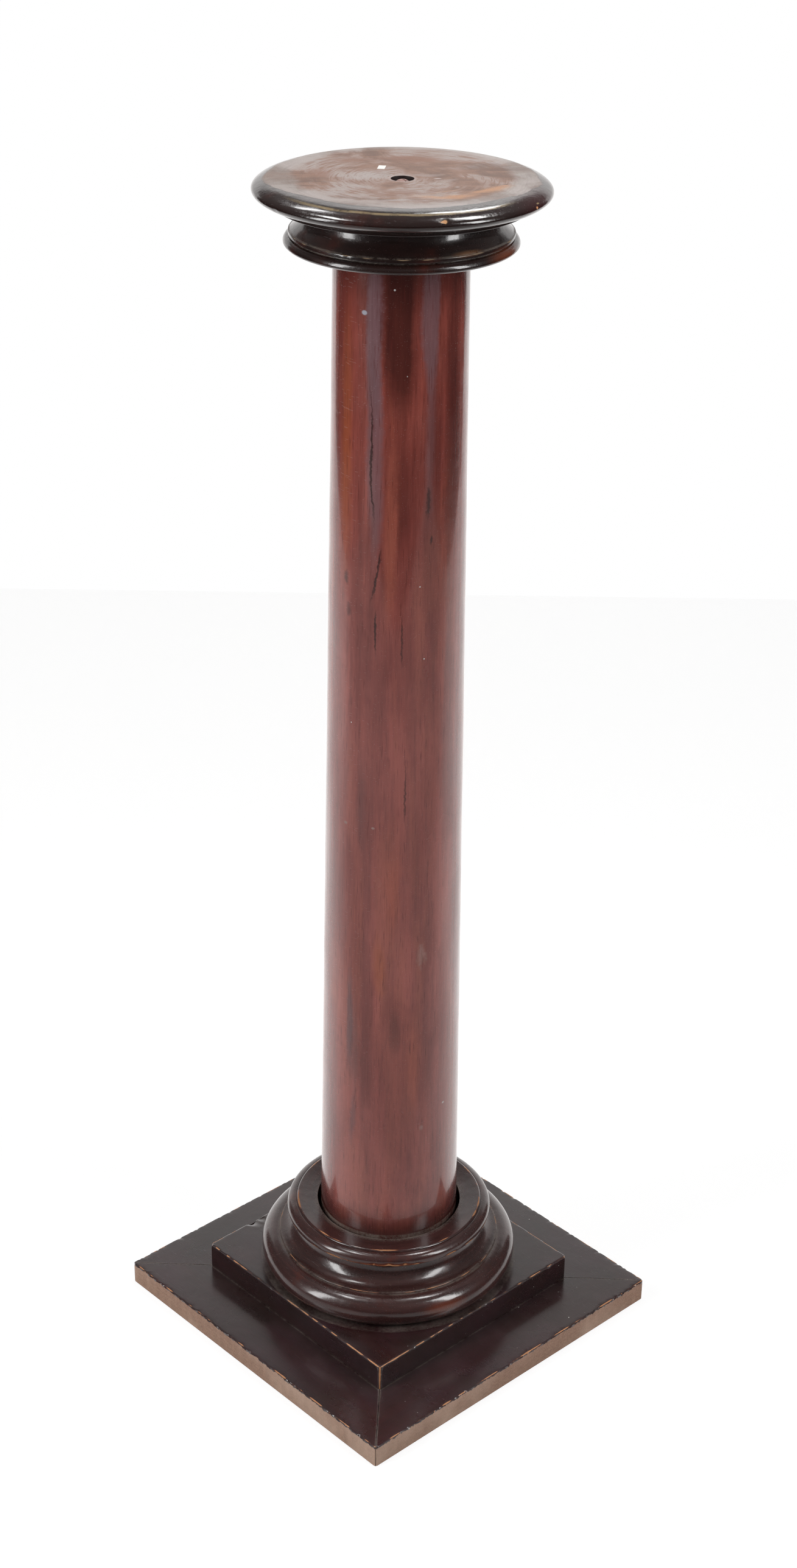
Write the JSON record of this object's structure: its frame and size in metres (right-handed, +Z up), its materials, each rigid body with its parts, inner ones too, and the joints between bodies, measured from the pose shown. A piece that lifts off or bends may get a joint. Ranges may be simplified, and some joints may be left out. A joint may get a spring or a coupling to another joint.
{
  "type": "pedestal column stand",
  "caption": "Round tapered column on a turned base, square plinth block and mitred foot frame, with a turned capital and a round top plate to display something on.",
  "frame": {"origin": "on the floor under the middle of the foot frame", "axes": "+Z up along the column, X and Y along the sides of the foot frame"},
  "size_m": [0.346, 0.346, 1.07],
  "materials": {
    "plate_varnish": "worn matt top with a dark glossy varnished edge",
    "turned_varnish": "near-black brown gloss varnish, rubbed to bare wood on the arrises",
    "foot_varnish": "dark satin varnish with dust, bare weathered frame edges",
    "shaft_veneer": "glossy red-brown mahogany veneer",
    "carcase_pine": "unfinished softwood",
    "old_steel": "dull old steel"
  },
  "bodies": {
    "root": {"base_ring_dowels": "carcase_pine", "base_ring_screws": "old_steel", "base_scotia_ring": "turned_varnish", "base_torus_ring": "turned_varnish", "capital": "turned_varnish", "capital_dowels": "carcase_pine", "centre_screw": "old_steel", "frame_board_back": "foot_varnish", "frame_board_front": "foot_varnish", "frame_board_left": "foot_varnish", "frame_board_right": "foot_varnish", "frame_screws": "old_steel", "glue_block_back_left": "carcase_pine", "glue_block_back_right": "carcase_pine", "glue_block_front_left": "carcase_pine", "glue_block_front_right": "carcase_pine", "mitre_spline_back_left": "carcase_pine", "mitre_spline_back_right": "carcase_pine", "mitre_spline_front_left": "carcase_pine", "mitre_spline_front_right": "carcase_pine", "plate_dowels": "carcase_pine", "plinth_block": "foot_varnish", "shaft_bolt": "old_steel", "shaft_bolt_washer": "old_steel", "shaft_foot_plug": "carcase_pine", "shaft_stave_1": "carcase_pine", "shaft_stave_2": "carcase_pine", "shaft_stave_3": "carcase_pine", "shaft_stave_4": "carcase_pine", "shaft_stave_5": "carcase_pine", "shaft_stave_6": "carcase_pine", "shaft_stave_7": "carcase_pine", "shaft_stave_8": "carcase_pine", "shaft_top_plug": "carcase_pine", "shaft_veneer": "shaft_veneer", "top_plate": "plate_varnish"}
  },
  "joints": []
}
